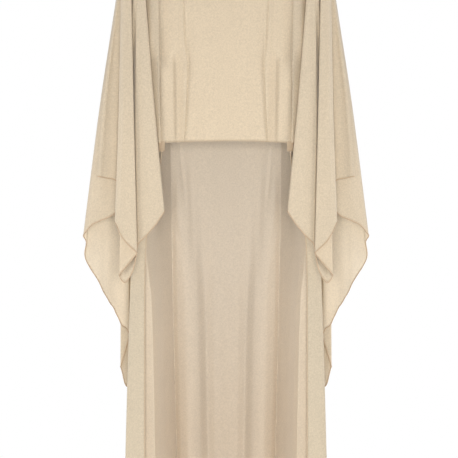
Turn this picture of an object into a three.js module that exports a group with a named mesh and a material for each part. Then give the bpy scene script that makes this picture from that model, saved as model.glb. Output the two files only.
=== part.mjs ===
// Kaftan with a short straight front, a floor-length back panel and two wide angel sleeves
// whose hems fall in cascades. It keeps the hollow, hanging form that it has when worn.
//
// Frame: millimetres, +Z up, the front faces -Y and the wearer's left is +X. The origin is
// midway between the high points of the shoulders, which carry the garment.
//
// Each cut piece is one cloth wall. A wall is a grid of points on its middle surface, moved
// half the wall's thickness to each side and closed along its edges. Where two pieces are
// sewn, one laps the other with a small gap.

import * as THREE from 'three';

// Cloth
const wall = 1.8;
const seamGap = 0.3;
const lapClearance = 0.15;
const lapLift = wall + seamGap + lapClearance;

// Shoulders and neck
const neckHalfWidth = 100;
const neckPointZ = -12;
const shoulderTipX = 178;
const shoulderTipZ = -46;
const frontNeckDrop = 84;
const backNeckDrop = 20;
const shoulderGap = 0.75;
const shoulderCurve = 1.25;
const neckCurve = 0.8;

// Depth of the body, reached some way below the shoulder line
const fullDepthBelowShoulder = 225;
const frontDepth = 125;
const frontSideFall = 22;

// Front panel
const frontSeamX = 154.5;
const chestSeamX = 158.5;
const lapWidth = 5;
const lapLossAtShoulder = 0.7;
const seamFlareCurve = 1.5;
const frontHemZ = -563;
const frontHemSideFall = 3;
const frontTabX = 145;
const frontTabLength = 20;
const frontRows = 15;
const frontColumns = [0, 22, 43, 62, 77, 84, 89, 93, 98, 104, 110, 117, 124, 130, 137, 144.6, 145.4, 150,
  frontSeamX, frontSeamX + lapWidth];

// Heights at which the folds are laid out
const chestZ = -225;
const elbowZ = -480;
const frontSeamEndZ = -567;
const trainOpenZ = -820;
const trainLowZ = -950;
const trainHemZ = -1480;

// Armhole of the back panel. Above it the panel's side is a narrow lap under the sleeve, whose
// fold lines follow each other by this step.
const armholeZ = -205;
const underarmZ = -295;
const armholeStepX = 0.4;
const armholeStepY = -0.3;
const armLevelZ = -175;

// Side seam: the back panel's edge meets the front panel's inner face
const sideSeamGap = 0.7;
const sideSeamRelease = 60;

// Sleeve seam: it runs up the front panel, over the shoulder and down the back panel
const sleeveArcDepth = 125;
const outerEdgeShare = 0.62;
const sleeveTopSeamX = 166;
const sleeveFullnessAtShoulder = 1.25;
const shoulderLift = 1.0;
const sleeveTopDrop = 0.5;
const sleeveTopFall = 0.4;
const sleeveLap = 7.5;

// Where the cloth doubles back on itself in a half round: how long before the turn it starts,
// as a share of the turn's depth, and the most it takes of the cloth between two fold lines.
// Where it lies closed, the same points stand at two shares of that cloth.
const turnStart = 0.6;
const turnMost = 0.4;
const closedFar = 0.6;
const closedNear = 0.2;
const slopeStep = 1.5;

// Share of a sleeve's length, from its seam to its hem, at which the chest height is reached
const chestShare = 0.22;
const sleeveRowShares = [0, 0.03, 0.07, 0.12, 0.17, 0.22, 0.3, 0.4, 0.5, 0.6, 0.7, 0.79, 0.87, 0.94, 1];
const backRowShares = [0, 0.002, 0.008, 0.018, 0.032, 0.05, 0.075, 0.105, 0.13, 0.148, 0.166, 0.19, 0.25,
  0.33, 0.37, 0.4, 0.44, 0.48, 0.535, 0.62, 0.8, 1];

// Soft creases of the front panel: distance from the centre at the top and the hem, how far
// each stands forward at the top and the hem, and its half width.
const frontCreases = [
  { name: 'inner ridge', topX: 104, hemX: 103, topRise: 0.5, hemRise: 3, halfWidth: 9 },
  { name: 'long trough', topX: 93, hemX: 93, topRise: -0.5, hemRise: -4, halfWidth: 8 },
  { name: 'side trough', topX: 121, hemX: 116, topRise: -1, hemRise: -5, halfWidth: 10 },
  { name: 'side ridge', topX: 140, hemX: 143, topRise: 2, hemRise: 4, halfWidth: 14 },
];

// Fold lines of the back panel from its centre to its free side edge, as [x, y] at five
// heights. turn is how far the cloth moves in depth where it doubles back on itself, which
// the train does below the side seam.
const backFolds = [
  {
    name: 'centre', turn: 0,
    chest: [0, 127], seamEnd: [0, 130], open: [0, 129], low: [0, 128], hem: [0, 128],
  },
  {
    name: 'inner flat', turn: 0,
    chest: [36, 127], seamEnd: [34, 129], open: [32, 128], low: [30, 127], hem: [26, 128],
  },
  {
    name: 'inner crease', turn: 0,
    chest: [74, 125], seamEnd: [72, 127], open: [66, 129], low: [60, 130], hem: [51, 132],
  },
  {
    name: 'middle flat', turn: 0,
    chest: [98, 122], seamEnd: [92, 125], open: [82, 122], low: [75, 120], hem: [65, 119],
  },
  {
    name: 'outer flat', turn: 0,
    chest: [122, 117], seamEnd: [116, 120], open: [111, 118], low: [106, 117], hem: [95, 115],
  },
  {
    name: 'corner', turn: 0,
    chest: [146, 109], seamEnd: [141, 118], open: [138, 128], low: [136, 131], hem: [123, 135],
  },
  {
    name: 'sleeve seam', turn: 0,
    chest: [165, 97], seamEnd: [166, 92], open: [163, 84], low: [158, 84], hem: [144, 84],
  },
  {
    name: 'side', turn: 0,
    chest: [172, 60], seamEnd: [173, 40], open: [178, 34], low: [168, 32], hem: [156, 30],
  },
  {
    name: 'bend', turn: 0,
    chest: [171, -20], seamEnd: [171, -30], open: [193, -22], low: [181, -22], hem: [170, -22],
  },
  {
    name: 'outer turn', turn: -9,
    chest: [163, -62], seamEnd: [164, -66], open: [229, -36], low: [235, -36], hem: [250, -36],
  },
  {
    name: 'free edge', turn: 0,
    chest: [152, -98], seamEnd: [152, -98], open: [194, -47], low: [196, -47], hem: [196, -47],
  },
];
const seamColumnName = 'sleeve seam';

// Fold lines of a sleeve from the front seam, round the arm, to the back seam. chest and elbow
// are [x, y] at those heights and hem is [x, y, z]. turn is as above: minus turns towards the
// front, plus towards the back.
const sleeveFolds = [
  { name: 'strip', chest: [199, -93], elbow: [200, -89], hem: [190, -86, -625], turn: -8 },
  { name: 'inner edge', chest: [190, -109], elbow: [168, -115], hem: [144, -122, -728], turn: -12 },
  { name: 'inner face', chest: [198, -115], elbow: [188, -121], hem: [166, -127, -761], turn: 0 },
  { name: 'groove lip', chest: [209, -111], elbow: [213, -114], hem: [207, -117, -805], turn: 0 },
  { name: 'under groove', chest: [216, -101], elbow: [222, -94], hem: [219, -107, -865], turn: 0 },
  { name: 'tip', chest: [226, -83], elbow: [236, -97], hem: [240, -99, -896], turn: 0 },
  { name: 'tip turn', chest: [233, -83], elbow: [245, -97], hem: [253, -100, -879], turn: -9 },
  { name: 'middle edge', chest: [223, -105], elbow: [217, -117], hem: [211, -122, -826], turn: -9 },
  { name: 'middle face', chest: [236, -107], elbow: [236, -120], hem: [239, -124, -796], turn: 0 },
  { name: 'middle turn', chest: [250, -86], elbow: [254, -99], hem: [263, -101, -751], turn: 20 },
  { name: 'flap root', chest: [243, -68], elbow: [241, -78], hem: [247, -80, -691], turn: 8 },
  { name: 'flap right', chest: [254, -60], elbow: [263, -73], hem: [263, -76, -654], turn: 0 },
  { name: 'flap edge', chest: [264, -50], elbow: [295, -72], hem: [307, -77, -644], turn: 9 },
  { name: 'flap back', chest: [257, -42], elbow: [268, -62], hem: [270, -65, -634], turn: 0 },
  { name: 'outer root', chest: [251, -34], elbow: [248, -52], hem: [249, -55, -700], turn: 8 },
  { name: 'outer right', chest: [258, -27], elbow: [267, -44], hem: [271, -47, -734], turn: 0 },
  { name: 'outer middle', chest: [266, -20], elbow: [292, -33], hem: [314, -36, -755], turn: 0 },
  { name: 'outer edge', chest: [271, -6], elbow: [309, -10], hem: [348, -12, -785], turn: 0 },
  { name: 'wing notch', chest: [271, 4], elbow: [309, 3], hem: [342, -2, -800], turn: 0 },
  { name: 'wing edge', chest: [270, 16], elbow: [307, 14], hem: [346, 10, -839], turn: 0 },
  { name: 'wing upper', chest: [265, 34], elbow: [295, 33], hem: [310, 26, -906], turn: 0 },
  { name: 'wing lower', chest: [256, 48], elbow: [273, 45], hem: [281, 38, -966], turn: 0 },
  { name: 'wing inner', chest: [243, 62], elbow: [242, 58], hem: [236, 56, -1034], turn: 9 },
  { name: 'wing outer', chest: [252, 75], elbow: [262, 71], hem: [264, 66, -1115], turn: 9 },
  { name: 'wing back', chest: [227, 88], elbow: [237, 84], hem: [247, 77, -1165], turn: 0 },
  { name: 'wing last', chest: [196, 97], elbow: [200, 96], hem: [207, 96, -1000], turn: 0 },
];
const sleeveSeamEndZ = -823;
const outerEdgeName = 'outer edge';

const clamp01 = (value) => Math.min(1, Math.max(0, value));
const smoothStep = (value) => clamp01(value) ** 2 * (3 - 2 * clamp01(value));
const vector = (x, y, z) => new THREE.Vector3(x, y, z);

// A smooth path through points at unevenly spaced knots, which never swings past them. With a
// firstSlope it leaves the first point that way, and the rest of the path isn't bent by it.
function pathPoint(points, knots, share, firstSlope) {
  const last = points.length - 1;
  const start = firstSlope ? 1 : 0;
  const along = (axis) => {
    const chord = (i) => (points[i + 1][axis] - points[i][axis]) / (knots[i + 1] - knots[i]);
    const slope = (i) => {
      if (firstSlope && i === 0) return firstSlope[axis];
      if (i === start) return chord(start);
      if (i === last) return chord(last - 1);
      const [before, after] = [chord(i - 1), chord(i)];
      if (before * after <= 0) return 0;
      const [near, far] = [knots[i] - knots[i - 1], knots[i + 1] - knots[i]];
      return (3 * (near + far)) / ((2 * far + near) / before + (far + 2 * near) / after);
    };
    let segment = 0;
    while (segment < last - 1 && share > knots[segment + 1]) segment += 1;
    const span = knots[segment + 1] - knots[segment];
    const t = (share - knots[segment]) / span;
    return points[segment][axis] * (2 * t ** 3 - 3 * t ** 2 + 1)
      + slope(segment) * span * (t ** 3 - 2 * t ** 2 + t)
      + points[segment + 1][axis] * (3 * t ** 2 - 2 * t ** 3)
      + slope(segment + 1) * span * (t ** 3 - t ** 2);
  };
  return vector(along('x'), along('y'), along('z'));
}

// Two points before and two after each place where the cloth doubles back, so that it turns
// in a half round; one point at any other fold line.
function roundTurns(lines) {
  const corners = lines.flatMap(({ point, turn }) => (turn
    ? [vector(point.x, point.y - turn / 2, point.z), vector(point.x, point.y + turn / 2, point.z)]
    : [point]));
  const samples = [];
  let corner = 0;
  for (const { turn } of lines) {
    if (!turn) {
      samples.push(corners[corner]);
      corner += 1;
      continue;
    }
    const [before, first, second, after] = corners.slice(corner - 1, corner + 3);
    const middle = first.clone().lerp(second, 0.5);
    const reach = Math.abs(turn) * turnStart;
    const enter = first.clone().lerp(before, Math.min(turnMost, reach / first.distanceTo(before)));
    const leave = second.clone().lerp(after, Math.min(turnMost, reach / second.distanceTo(after)));
    const round = (start, control, end) => start.clone().multiplyScalar(0.25)
      .addScaledVector(control, 0.5).addScaledVector(end, 0.25);
    samples.push(enter, round(enter, first, middle), round(middle, second, leave), leave);
    corner += 2;
  }
  return samples;
}

// The same number of points where the cloth doesn't double back, evenly apart
function spreadTurns(lines) {
  return lines.flatMap(({ point, turn }, index) => {
    if (!turn) return [point];
    const [before, after] = [lines[index - 1].point, lines[index + 1].point];
    const near = [point.clone().lerp(before, closedFar), point.clone().lerp(before, closedNear)];
    return [...near, point.clone().lerp(after, closedNear), point.clone().lerp(after, closedFar)];
  });
}

// Shoulder line and how far the body has deepened below it
function shoulderZ(x) {
  const beyondNeck = Math.max(0, Math.abs(x) - neckHalfWidth) / (shoulderTipX - neckHalfWidth);
  return neckPointZ + (shoulderTipZ - neckPointZ) * beyondNeck ** shoulderCurve;
}

function fullness(x, z) {
  const fallen = clamp01((shoulderZ(x) - z) / fullDepthBelowShoulder);
  return Math.sqrt(1 - (1 - fallen) ** 2);
}

function topEdgeZ(x, neckDrop) {
  const acrossNeck = Math.min(1, Math.abs(x) / neckHalfWidth);
  return shoulderZ(x) - neckDrop * (1 - acrossNeck ** 2) ** neckCurve;
}

const nearShoulder = (z) => clamp01((z - chestZ) / (shoulderTipZ - chestZ));

// Distance of the sleeve's seam from the centre of the front panel
function frontSeamAt(z) {
  const belowChest = THREE.MathUtils.mapLinear(z, frontSeamEndZ, chestZ, frontSeamX, chestSeamX);
  return Math.min(belowChest, chestSeamX) + (sleeveTopSeamX - chestSeamX) * nearShoulder(z) ** seamFlareCurve;
}

// How far a panel reaches past the sleeve's seam, under the sleeve
function lapAt(z) {
  return lapWidth * (1 - lapLossAtShoulder * nearShoulder(z));
}

// Front panel, whose hem drops by a short tab at each side
function frontHemAt(x) {
  const straight = frontHemZ - frontHemSideFall * (x / frontSeamX) ** 2;
  return Math.abs(x) > frontTabX ? straight - frontTabLength : straight;
}

function frontPoint(x, z) {
  const side = Math.abs(x);
  const down = clamp01(z / frontHemZ);
  let rise = 0;
  for (const crease of frontCreases) {
    const creaseX = THREE.MathUtils.lerp(crease.topX, crease.hemX, down);
    const height = THREE.MathUtils.lerp(crease.topRise, crease.hemRise, down);
    rise += height * Math.exp(-(((side - creaseX) / crease.halfWidth) ** 2));
  }
  const depth = (frontDepth - frontSideFall * (side / frontSeamX) ** 2) * fullness(x, z) + rise * down;
  return vector(x, -depth - shoulderGap / 2, z);
}

function frontGrid() {
  const edgeX = frontSeamX + lapWidth;
  const columns = [...frontColumns.slice(1).reverse().map((x) => -x), ...frontColumns];
  const movedOut = (x, z) => {
    const outer = clamp01((Math.abs(x) - neckHalfWidth) / (frontSeamX - neckHalfWidth));
    const lapLost = Math.abs(x) === edgeX ? lapWidth - lapAt(z) : 0;
    return x + Math.sign(x) * (outer * (frontSeamAt(z) - frontSeamX) - lapLost);
  };
  const grid = [];
  for (let row = 0; row <= frontRows; row += 1) {
    const share = (row / frontRows) ** 2;
    grid.push(columns.map((x) => {
      const top = topEdgeZ(movedOut(x, shoulderTipZ), frontNeckDrop);
      const z = top + (frontHemAt(x) - top) * share;
      return frontPoint(movedOut(x, z), z);
    }));
  }
  return grid;
}

// Back panel
const backHeights = [-chestZ, -frontSeamEndZ, -trainOpenZ, -trainLowZ, -trainHemZ];
const backSeamIndex = backFolds.findIndex((fold) => fold.name === seamColumnName);
const backLevels = ['chest', 'seamEnd', 'open', 'low', 'hem'].map((key) => {
  const lines = backFolds.map((fold) => ({ point: vector(...fold[key], 0), turn: fold.turn }));
  return key === 'chest' || key === 'seamEnd' ? spreadTurns(lines) : roundTurns(lines);
});

function backSection(z) {
  const places = backLevels[0].map((_, index) => {
    const keys = backLevels.map((level) => level[index]);
    return pathPoint(keys, backHeights, Math.max(-z, -chestZ));
  });
  const edge = places[places.length - 1];
  const joined = smoothStep((z - frontSeamEndZ + sideSeamRelease) / sideSeamRelease);
  const frontInside = frontPoint(edge.x, z).y + wall / 2 + sideSeamGap;
  edge.y = THREE.MathUtils.lerp(edge.y, frontInside, joined);
  const seam = places[backSeamIndex];
  const reached = smoothStep((armholeZ - z) / (armholeZ - underarmZ));
  return places.map((place, index) => {
    const beyond = Math.max(0, index - backSeamIndex);
    const atArmhole = vector(seam.x + beyond * armholeStepX, seam.y + beyond * armholeStepY, 0);
    const placed = beyond > 0 ? atArmhole.lerp(place, reached) : place;
    const depth = placed.y > 0 ? placed.y * fullness(placed.x, z) : placed.y;
    return vector(placed.x, depth + shoulderGap / 2, z);
  });
}

function backPoint(index, z) {
  return backSection(z)[index];
}

function backGrid() {
  const grid = [];
  for (const share of backRowShares) {
    const columnCount = backSection(trainHemZ).length;
    const half = [];
    for (let column = 0; column < columnCount; column += 1) {
      const nearX = backPoint(column, armLevelZ).x;
      const top = topEdgeZ(nearX, backNeckDrop);
      half.push(backPoint(column, top + (trainHemZ - top) * share));
    }
    const mirrored = half.slice(1).reverse().map((point) => vector(-point.x, point.y, point.z));
    grid.push([...mirrored, ...half]);
  }
  return grid;
}

// A point lifted off the panel that a sleeve is sewn to. surface gives the panel's point at a
// sideways step from the seam and at a height.
function liftedOff(surface, z) {
  const here = surface(0, z);
  const across = surface(slopeStep, z).sub(surface(-slopeStep, z));
  const down = surface(0, z - slopeStep).sub(surface(0, z));
  const normal = across.cross(down).normalize();
  const lift = lapLift + shoulderLift * nearShoulder(z) ** 2;
  return here.addScaledVector(normal, lift * Math.sign(normal.y * here.y || 1));
}

function onFront(z, beyondSeam = 0) {
  return liftedOff((step, height) => frontPoint(frontSeamAt(height) + beyondSeam + step, height), z);
}

function onBack(z) {
  const alongPanel = (step, height) => {
    const section = backSection(height);
    const toward = step < 0 ? section[backSeamIndex - 1] : section[backSeamIndex + 1];
    const here = section[backSeamIndex];
    return here.clone().addScaledVector(toward.clone().sub(here).normalize(), Math.abs(step));
  };
  return liftedOff(alongPanel, z);
}

// The seam from the front panel (0) over the shoulder tip (0.5) to the back panel (1)
function sleeveTop(at) {
  const away = Math.abs(1 - 2 * at);
  const z = shoulderZ(sleeveTopSeamX) - sleeveTopDrop - sleeveArcDepth * away ** 2;
  const outward = vector(1, 0, -sleeveTopFall * (1 - away)).normalize();
  return { point: at < 0.5 ? onFront(z) : onBack(z), outward };
}

// Four points down each column of a sleeve: on its seam, at the chest, at the elbow and on
// the hem. The first two columns lie on the front panel and the last one on the back panel.
function sleeveColumns() {
  const level = (key, height, frontZ, backZ) => {
    const places = sleeveFolds.map((fold) => {
      const [x, y, z = height] = fold[key];
      return { point: vector(x, y, z), turn: fold.turn };
    });
    const first = { point: onFront(frontZ, sleeveLap), turn: 0 };
    const last = { point: onBack(backZ), turn: 0 };
    return [onFront(frontZ), ...roundTurns([first, ...places, last])];
  };
  const chest = level('chest', chestZ, chestZ, chestZ);
  const elbow = level('elbow', elbowZ, elbowZ, elbowZ);
  const hem = level('hem', 0, frontSeamEndZ, sleeveSeamEndZ);
  const samples = sleeveFolds.flatMap(({ name, turn }) => (turn ? [name, name, name, name] : [name]));
  const outerEdge = samples.indexOf(outerEdgeName) + 2;
  return chest.map((_, index) => {
    const behind = (index - outerEdge) / (chest.length - 1 - outerEdge);
    const at = behind < 0
      ? outerEdgeShare * (index / outerEdge)
      : outerEdgeShare + (1 - outerEdgeShare) * behind;
    const top = sleeveTop(at);
    const keys = [top.point, chest[index], elbow[index], hem[index]];
    const elbowShare = (chestZ - elbowZ) / (chestZ - hem[index].z);
    const knots = [0, chestShare, chestShare + (1 - chestShare) * elbowShare, 1];
    const reach = (sleeveFullnessAtShoulder * chest[index].distanceTo(top.point)) / chestShare;
    return { keys, knots, firstSlope: top.outward.multiplyScalar(reach) };
  });
}

function sleeveGrid(side) {
  const columns = sleeveColumns();
  const onPanel = new Map([
    [0, (z) => onFront(z)],
    [1, (z, share) => onFront(z, sleeveLap * clamp01(share / chestShare))],
    [columns.length - 1, (z) => onBack(z)],
  ]);
  return sleeveRowShares.map((share) => columns.map(({ keys, knots, firstSlope }, index) => {
    const free = pathPoint(keys, knots, share, firstSlope);
    const seamShare = clamp01((share - chestShare) / (1 - chestShare));
    const z = share < chestShare
      ? THREE.MathUtils.lerp(keys[0].z, keys[1].z, share / chestShare)
      : THREE.MathUtils.lerp(keys[1].z, keys[3].z, seamShare);
    const point = onPanel.has(index) ? onPanel.get(index)(z, share) : free;
    return vector(point.x * side, point.y, point.z);
  }));
}

// Closes a grid of middle points into a wall
function clothWall(grid) {
  const rows = grid.length;
  const columns = grid[0].length;
  const count = rows * columns;
  const positions = new Float32Array(count * 6);
  const at = (row, column) => row * columns + column;
  grid.forEach((line, row) => line.forEach((point, column) => {
    const [left, right] = [line[Math.max(0, column - 1)], line[Math.min(columns - 1, column + 1)]];
    const [above, below] = [grid[Math.max(0, row - 1)][column], grid[Math.min(rows - 1, row + 1)][column]];
    const across = right.clone().sub(left);
    const down = below.clone().sub(above);
    const shift = across.cross(down).normalize().multiplyScalar(wall / 2);
    point.clone().add(shift).toArray(positions, at(row, column) * 3);
    point.clone().sub(shift).toArray(positions, (count + at(row, column)) * 3);
  }));
  const faces = [];
  for (let row = 0; row < rows - 1; row += 1) {
    for (let column = 0; column < columns - 1; column += 1) {
      const [a, b] = [at(row, column), at(row, column + 1)];
      const [c, d] = [at(row + 1, column + 1), at(row + 1, column)];
      faces.push(a, b, c, a, c, d, count + a, count + c, count + b, count + a, count + d, count + c);
    }
  }
  const rim = [];
  for (let column = 0; column < columns - 1; column += 1) rim.push(at(0, column));
  for (let row = 0; row < rows - 1; row += 1) rim.push(at(row, columns - 1));
  for (let column = columns - 1; column > 0; column -= 1) rim.push(at(rows - 1, column));
  for (let row = rows - 1; row > 0; row -= 1) rim.push(at(row, 0));
  rim.forEach((here, index) => {
    const next = rim[(index + 1) % rim.length];
    faces.push(next, here, count + here, next, count + here, count + next);
  });
  const geometry = new THREE.BufferGeometry();
  geometry.setAttribute('position', new THREE.BufferAttribute(positions, 3));
  geometry.setIndex(faces);
  geometry.computeVertexNormals();
  return geometry;
}

function clothPiece(name, grid) {
  const cloth = new THREE.MeshStandardMaterial({ color: 0xd9c7a6, roughness: 0.62, metalness: 0.15 });
  const mesh = new THREE.Mesh(clothWall(grid), cloth);
  mesh.name = name;
  return mesh;
}

const kaftan = new THREE.Group();
kaftan.add(clothPiece('front', frontGrid()));
kaftan.add(clothPiece('back', backGrid()));
kaftan.add(clothPiece('sleeve_left', sleeveGrid(1)));
kaftan.add(clothPiece('sleeve_right', sleeveGrid(-1)));

export default kaftan;
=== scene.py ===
"""Looks of a kaftan: four cut pieces of champagne metallic jersey, worn and hanging hollow.

Each piece is a thin shell on the middle surface of its solid wall, at a finer step, with soft
creases, rolled hems and sewn seams. A few fold lines lie a few millimetres from the wall's.
Lengths are millimetres until a mesh is made. The front faces -Y, +X is the wearer's left and the
origin is between the shoulder points.
"""

import math
from collections import namedtuple
import bpy
import numpy as np
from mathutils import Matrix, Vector


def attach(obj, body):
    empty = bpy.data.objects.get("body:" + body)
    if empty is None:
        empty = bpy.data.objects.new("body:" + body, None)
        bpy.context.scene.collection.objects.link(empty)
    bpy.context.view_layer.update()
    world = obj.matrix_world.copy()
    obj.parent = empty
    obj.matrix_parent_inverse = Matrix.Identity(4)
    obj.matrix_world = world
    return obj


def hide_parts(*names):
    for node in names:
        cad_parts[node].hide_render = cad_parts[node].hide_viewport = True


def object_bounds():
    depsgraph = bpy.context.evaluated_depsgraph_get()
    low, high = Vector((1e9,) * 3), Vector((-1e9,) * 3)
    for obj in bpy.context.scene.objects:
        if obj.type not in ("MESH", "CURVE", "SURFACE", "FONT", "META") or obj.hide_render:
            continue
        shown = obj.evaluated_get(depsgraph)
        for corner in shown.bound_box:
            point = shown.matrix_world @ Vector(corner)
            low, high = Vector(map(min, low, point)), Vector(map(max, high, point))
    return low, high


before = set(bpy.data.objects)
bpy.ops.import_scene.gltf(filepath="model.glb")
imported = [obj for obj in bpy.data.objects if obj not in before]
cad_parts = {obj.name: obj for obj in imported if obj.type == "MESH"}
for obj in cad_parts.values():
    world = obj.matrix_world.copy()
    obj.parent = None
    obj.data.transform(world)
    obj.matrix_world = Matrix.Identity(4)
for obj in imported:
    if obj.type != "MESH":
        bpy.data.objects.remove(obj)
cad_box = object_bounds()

MM = 0.001


def table(columns, rows):
    """Rows with named columns."""
    kind = namedtuple("Row", columns)
    return [kind(*row) for row in rows]


# ---------------------------------------------------------------- sizes of the garment

CLOTH = 0.8  # the jersey's own thickness
CAD_WALL = 1.8
SEAM_LIFT = 1.25  # from a panel's middle surface to that of a sleeve sewn on it

NECK_HALF_WIDTH = 100
NECK_POINT_Z = -12
SHOULDER_TIP_X = 178
SHOULDER_TIP_Z = -46
SHOULDER_CURVE = 1.25
SHOULDER_GAP = 0.75
FRONT_NECK_DROP = 84
BACK_NECK_DROP = 20
NECK_CURVE = 0.8

FULL_DEPTH_BELOW_SHOULDER = 225
FRONT_DEPTH = 125
FRONT_SIDE_FALL = 22

FRONT_SEAM_X = 154.5
CHEST_SEAM_X = 158.5
LAP_WIDTH = 5
LAP_LOSS_AT_SHOULDER = 0.7
SEAM_FLARE_CURVE = 1.5
FRONT_HEM_Z = -563
FRONT_HEM_SIDE_FALL = 3
FRONT_TAB_X = 145
FRONT_TAB_LENGTH = 20

CHEST_Z = -225
ELBOW_Z = -480
FRONT_SEAM_END_Z = -567
TRAIN_HEM_Z = -1480
BACK_HEIGHTS = (225, 567, 820, 950, 1480)  # below the origin, as the columns of BACK_FOLDS

ARMHOLE_Z = -205
UNDERARM_Z = -295
ARMHOLE_STEP = (0.4, -0.3)
ARM_LEVEL_Z = -175
SIDE_SEAM_GAP = 0.7
SIDE_SEAM_RELEASE = 60

SLEEVE_ARC_DEPTH = 125
OUTER_EDGE_SHARE = 0.62
SLEEVE_TOP_SEAM_X = 166
SLEEVE_FULLNESS_AT_SHOULDER = 1.25
SHOULDER_LIFT = 0.6
SLEEVE_TOP_DROP = 0.5
SLEEVE_TOP_FALL = 0.4
SLEEVE_LAP = 7.5
SLEEVE_SEAM_END_Z = -823
CHEST_SHARE = 0.22
TURN_START = 0.6
TURN_MOST = 0.4
CLOSED_FAR = 0.6
CLOSED_NEAR = 0.2
CRISP = 1  # a turn of no depth that the cloth takes within CRISP_REACH of the fold line
CRISP_REACH = 5.0
CRISP_MOST = 0.3

# How the grids are laid out: points for each kind of fold, steps across, rows and columns
PLAIN_SAMPLES, CRISP_SAMPLES, TURN_SAMPLES = 1, 3, 4
FRONT_FINE_BAND = (78, 130)  # distances from the centre
FRONT_COLUMNS = (26, 58, 20)  # inside that band, in it and outside it, on each half
FRONT_TAB_CORNER = 0.3  # from a tab's edge to the columns on both sides of it
FRONT_ROWS = 140
BACK_STEP = 5.2
BACK_TOP_SHARE = 0.17
BACK_TOP_CURVE = 1.7
BACK_TOP_ROWS = 58
BACK_LOW_ROWS = 118
LAP_COLUMNS = 2  # a sleeve's edge and its lap's end, before its first fold line
SLOPE_STEP = 1.5  # over which a panel's slope is measured
SLEEVE_STEP = 5.3
SLEEVE_TOP_ROWS = 34
SLEEVE_LOW_ROWS = 84

# Fold lines of the back panel from its centre to its free side edge, as (x, y) at the
# heights of BACK_HEIGHTS. turn is how far the cloth moves in depth where it doubles back.
BACK_FOLDS = table("name turn chest seam_end open low hem", [
    ("centre", 0, (0, 127), (0, 130), (0, 129), (0, 128), (0, 128)),
    ("inner flat", 0, (36, 127), (34, 129), (32, 128), (30, 127), (26, 128)),
    ("inner crease", 0, (74, 125), (72, 127), (62, 129), (54, 130), (44, 132)),
    ("middle flat", 0, (98, 122), (92, 125), (82, 122), (75, 120), (65, 119)),
    ("outer flat", 0, (122, 117), (116, 120), (111, 118), (106, 117), (95, 115)),
    ("corner", CRISP, (146, 109), (141, 118), (138, 128), (136, 131), (123, 135)),
    ("sleeve seam", 0, (165, 97), (166, 92), (163, 84), (158, 84), (144, 84)),
    ("side", 0, (172, 60), (173, 40), (178, 34), (168, 32), (156, 30)),
    ("bend", CRISP, (171, -20), (171, -30), (193, -22), (181, -22), (170, -22)),
    ("outer turn", -9, (163, -62), (164, -66), (227, -36), (233, -36), (248, -36)),
    ("free edge", 0, (152, -98), (152, -98), (194, -47), (196, -47), (196, -47)),
])
BACK_LEVELS = ("chest", "seam_end", "open", "low", "hem")

# Fold lines of a sleeve from the front seam, round the arm, to the back seam: (x, y) at the
# chest and at the elbow, and (x, y, z) on the hem.
SLEEVE_FOLDS = table("name chest elbow hem turn", [
    ("strip", (199, -93), (200, -89), (190, -86, -625), -8),
    ("inner edge", (190, -109), (168, -115), (144, -122, -728), -12),
    ("inner face", (198, -115), (188, -121), (166, -127, -761), 0),
    ("groove lip", (209, -111), (213, -114), (207, -117, -805), CRISP),
    ("under groove", (216, -101), (222, -94), (219, -107, -865), 0),
    ("tip side", (222, -86), (230, -100), (230, -103, -887), 0),
    ("tip", (226, -83), (236, -97), (240, -100, -897), 0),
    ("tip low", (229, -82), (241, -96), (248, -100, -890), 0),
    ("tip turn", (233, -83), (245, -97), (253, -100, -879), -9),
    ("middle edge", (223, -105), (217, -117), (208.3, -122, -826), -9),
    ("middle face", (236, -107), (236, -120), (239, -124, -796), 0),
    ("middle turn", (250, -86), (254, -99), (263, -101, -751), 20),
    ("flap root", (243, -68), (241, -78), (247, -80, -691), 8),
    ("flap right", (254, -60), (263, -73), (263, -76, -654), 0),
    ("flap edge", (264, -50), (295, -72), (307, -77, -644), 9),
    ("flap back", (257, -42), (268, -62), (270, -65, -634), 0),
    ("outer root", (251, -34), (248, -52), (249, -55, -700), 8),
    ("outer right", (258, -27), (267, -44), (271, -47, -734), 0),
    ("outer middle", (266, -20), (292, -33), (314, -36, -755), 0),
    ("outer edge", (271, -6), (309, -10), (348, -12, -785), 0),
    ("wing notch", (271, 4), (309, 3), (342, -2, -800), 0),
    ("wing edge", (270, 16), (307, 14), (346, 10, -839), 0),
    ("wing upper", (265, 34), (295, 33), (310, 26, -906), 0),
    ("wing lower", (256, 48), (273, 45), (281, 38, -966), 0),
    ("wing inner", (243, 62), (244, 58), (240, 56, -1034), 9),
    ("wing outer", (252, 75), (262, 71), (264, 66, -1115), 9),
    ("wing back", (227, 88), (237, 84), (247, 77, -1165), 0),
    ("wing last", (196, 97), (200, 96), (207, 96, -1000), 0),
])

# The sharp fold of the front panel, on both sides of its centre: its edge's distance from the
# centre at heights z, how far it stands out and how far it reaches outwards.
FRONT_FOLD = table("z x rise reach", [
    (-563, 105.0, 6.5, 9),
    (-467, 98.5, 5.5, 11),
    (-397, 96.5, 5.0, 10),
    (-366, 96.5, 4.4, 9),
    (-322, 101.0, 3.4, 8),
    (-242, 103.0, 2.4, 7),
    (-120, 104.0, 0.4, 5),
])
FRONT_FOLD_EDGE = 2.4  # how far it reaches inwards
FRONT_FOLD_LEAN = 1.0  # how far it leans towards the centre, as a share of its rise

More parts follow.
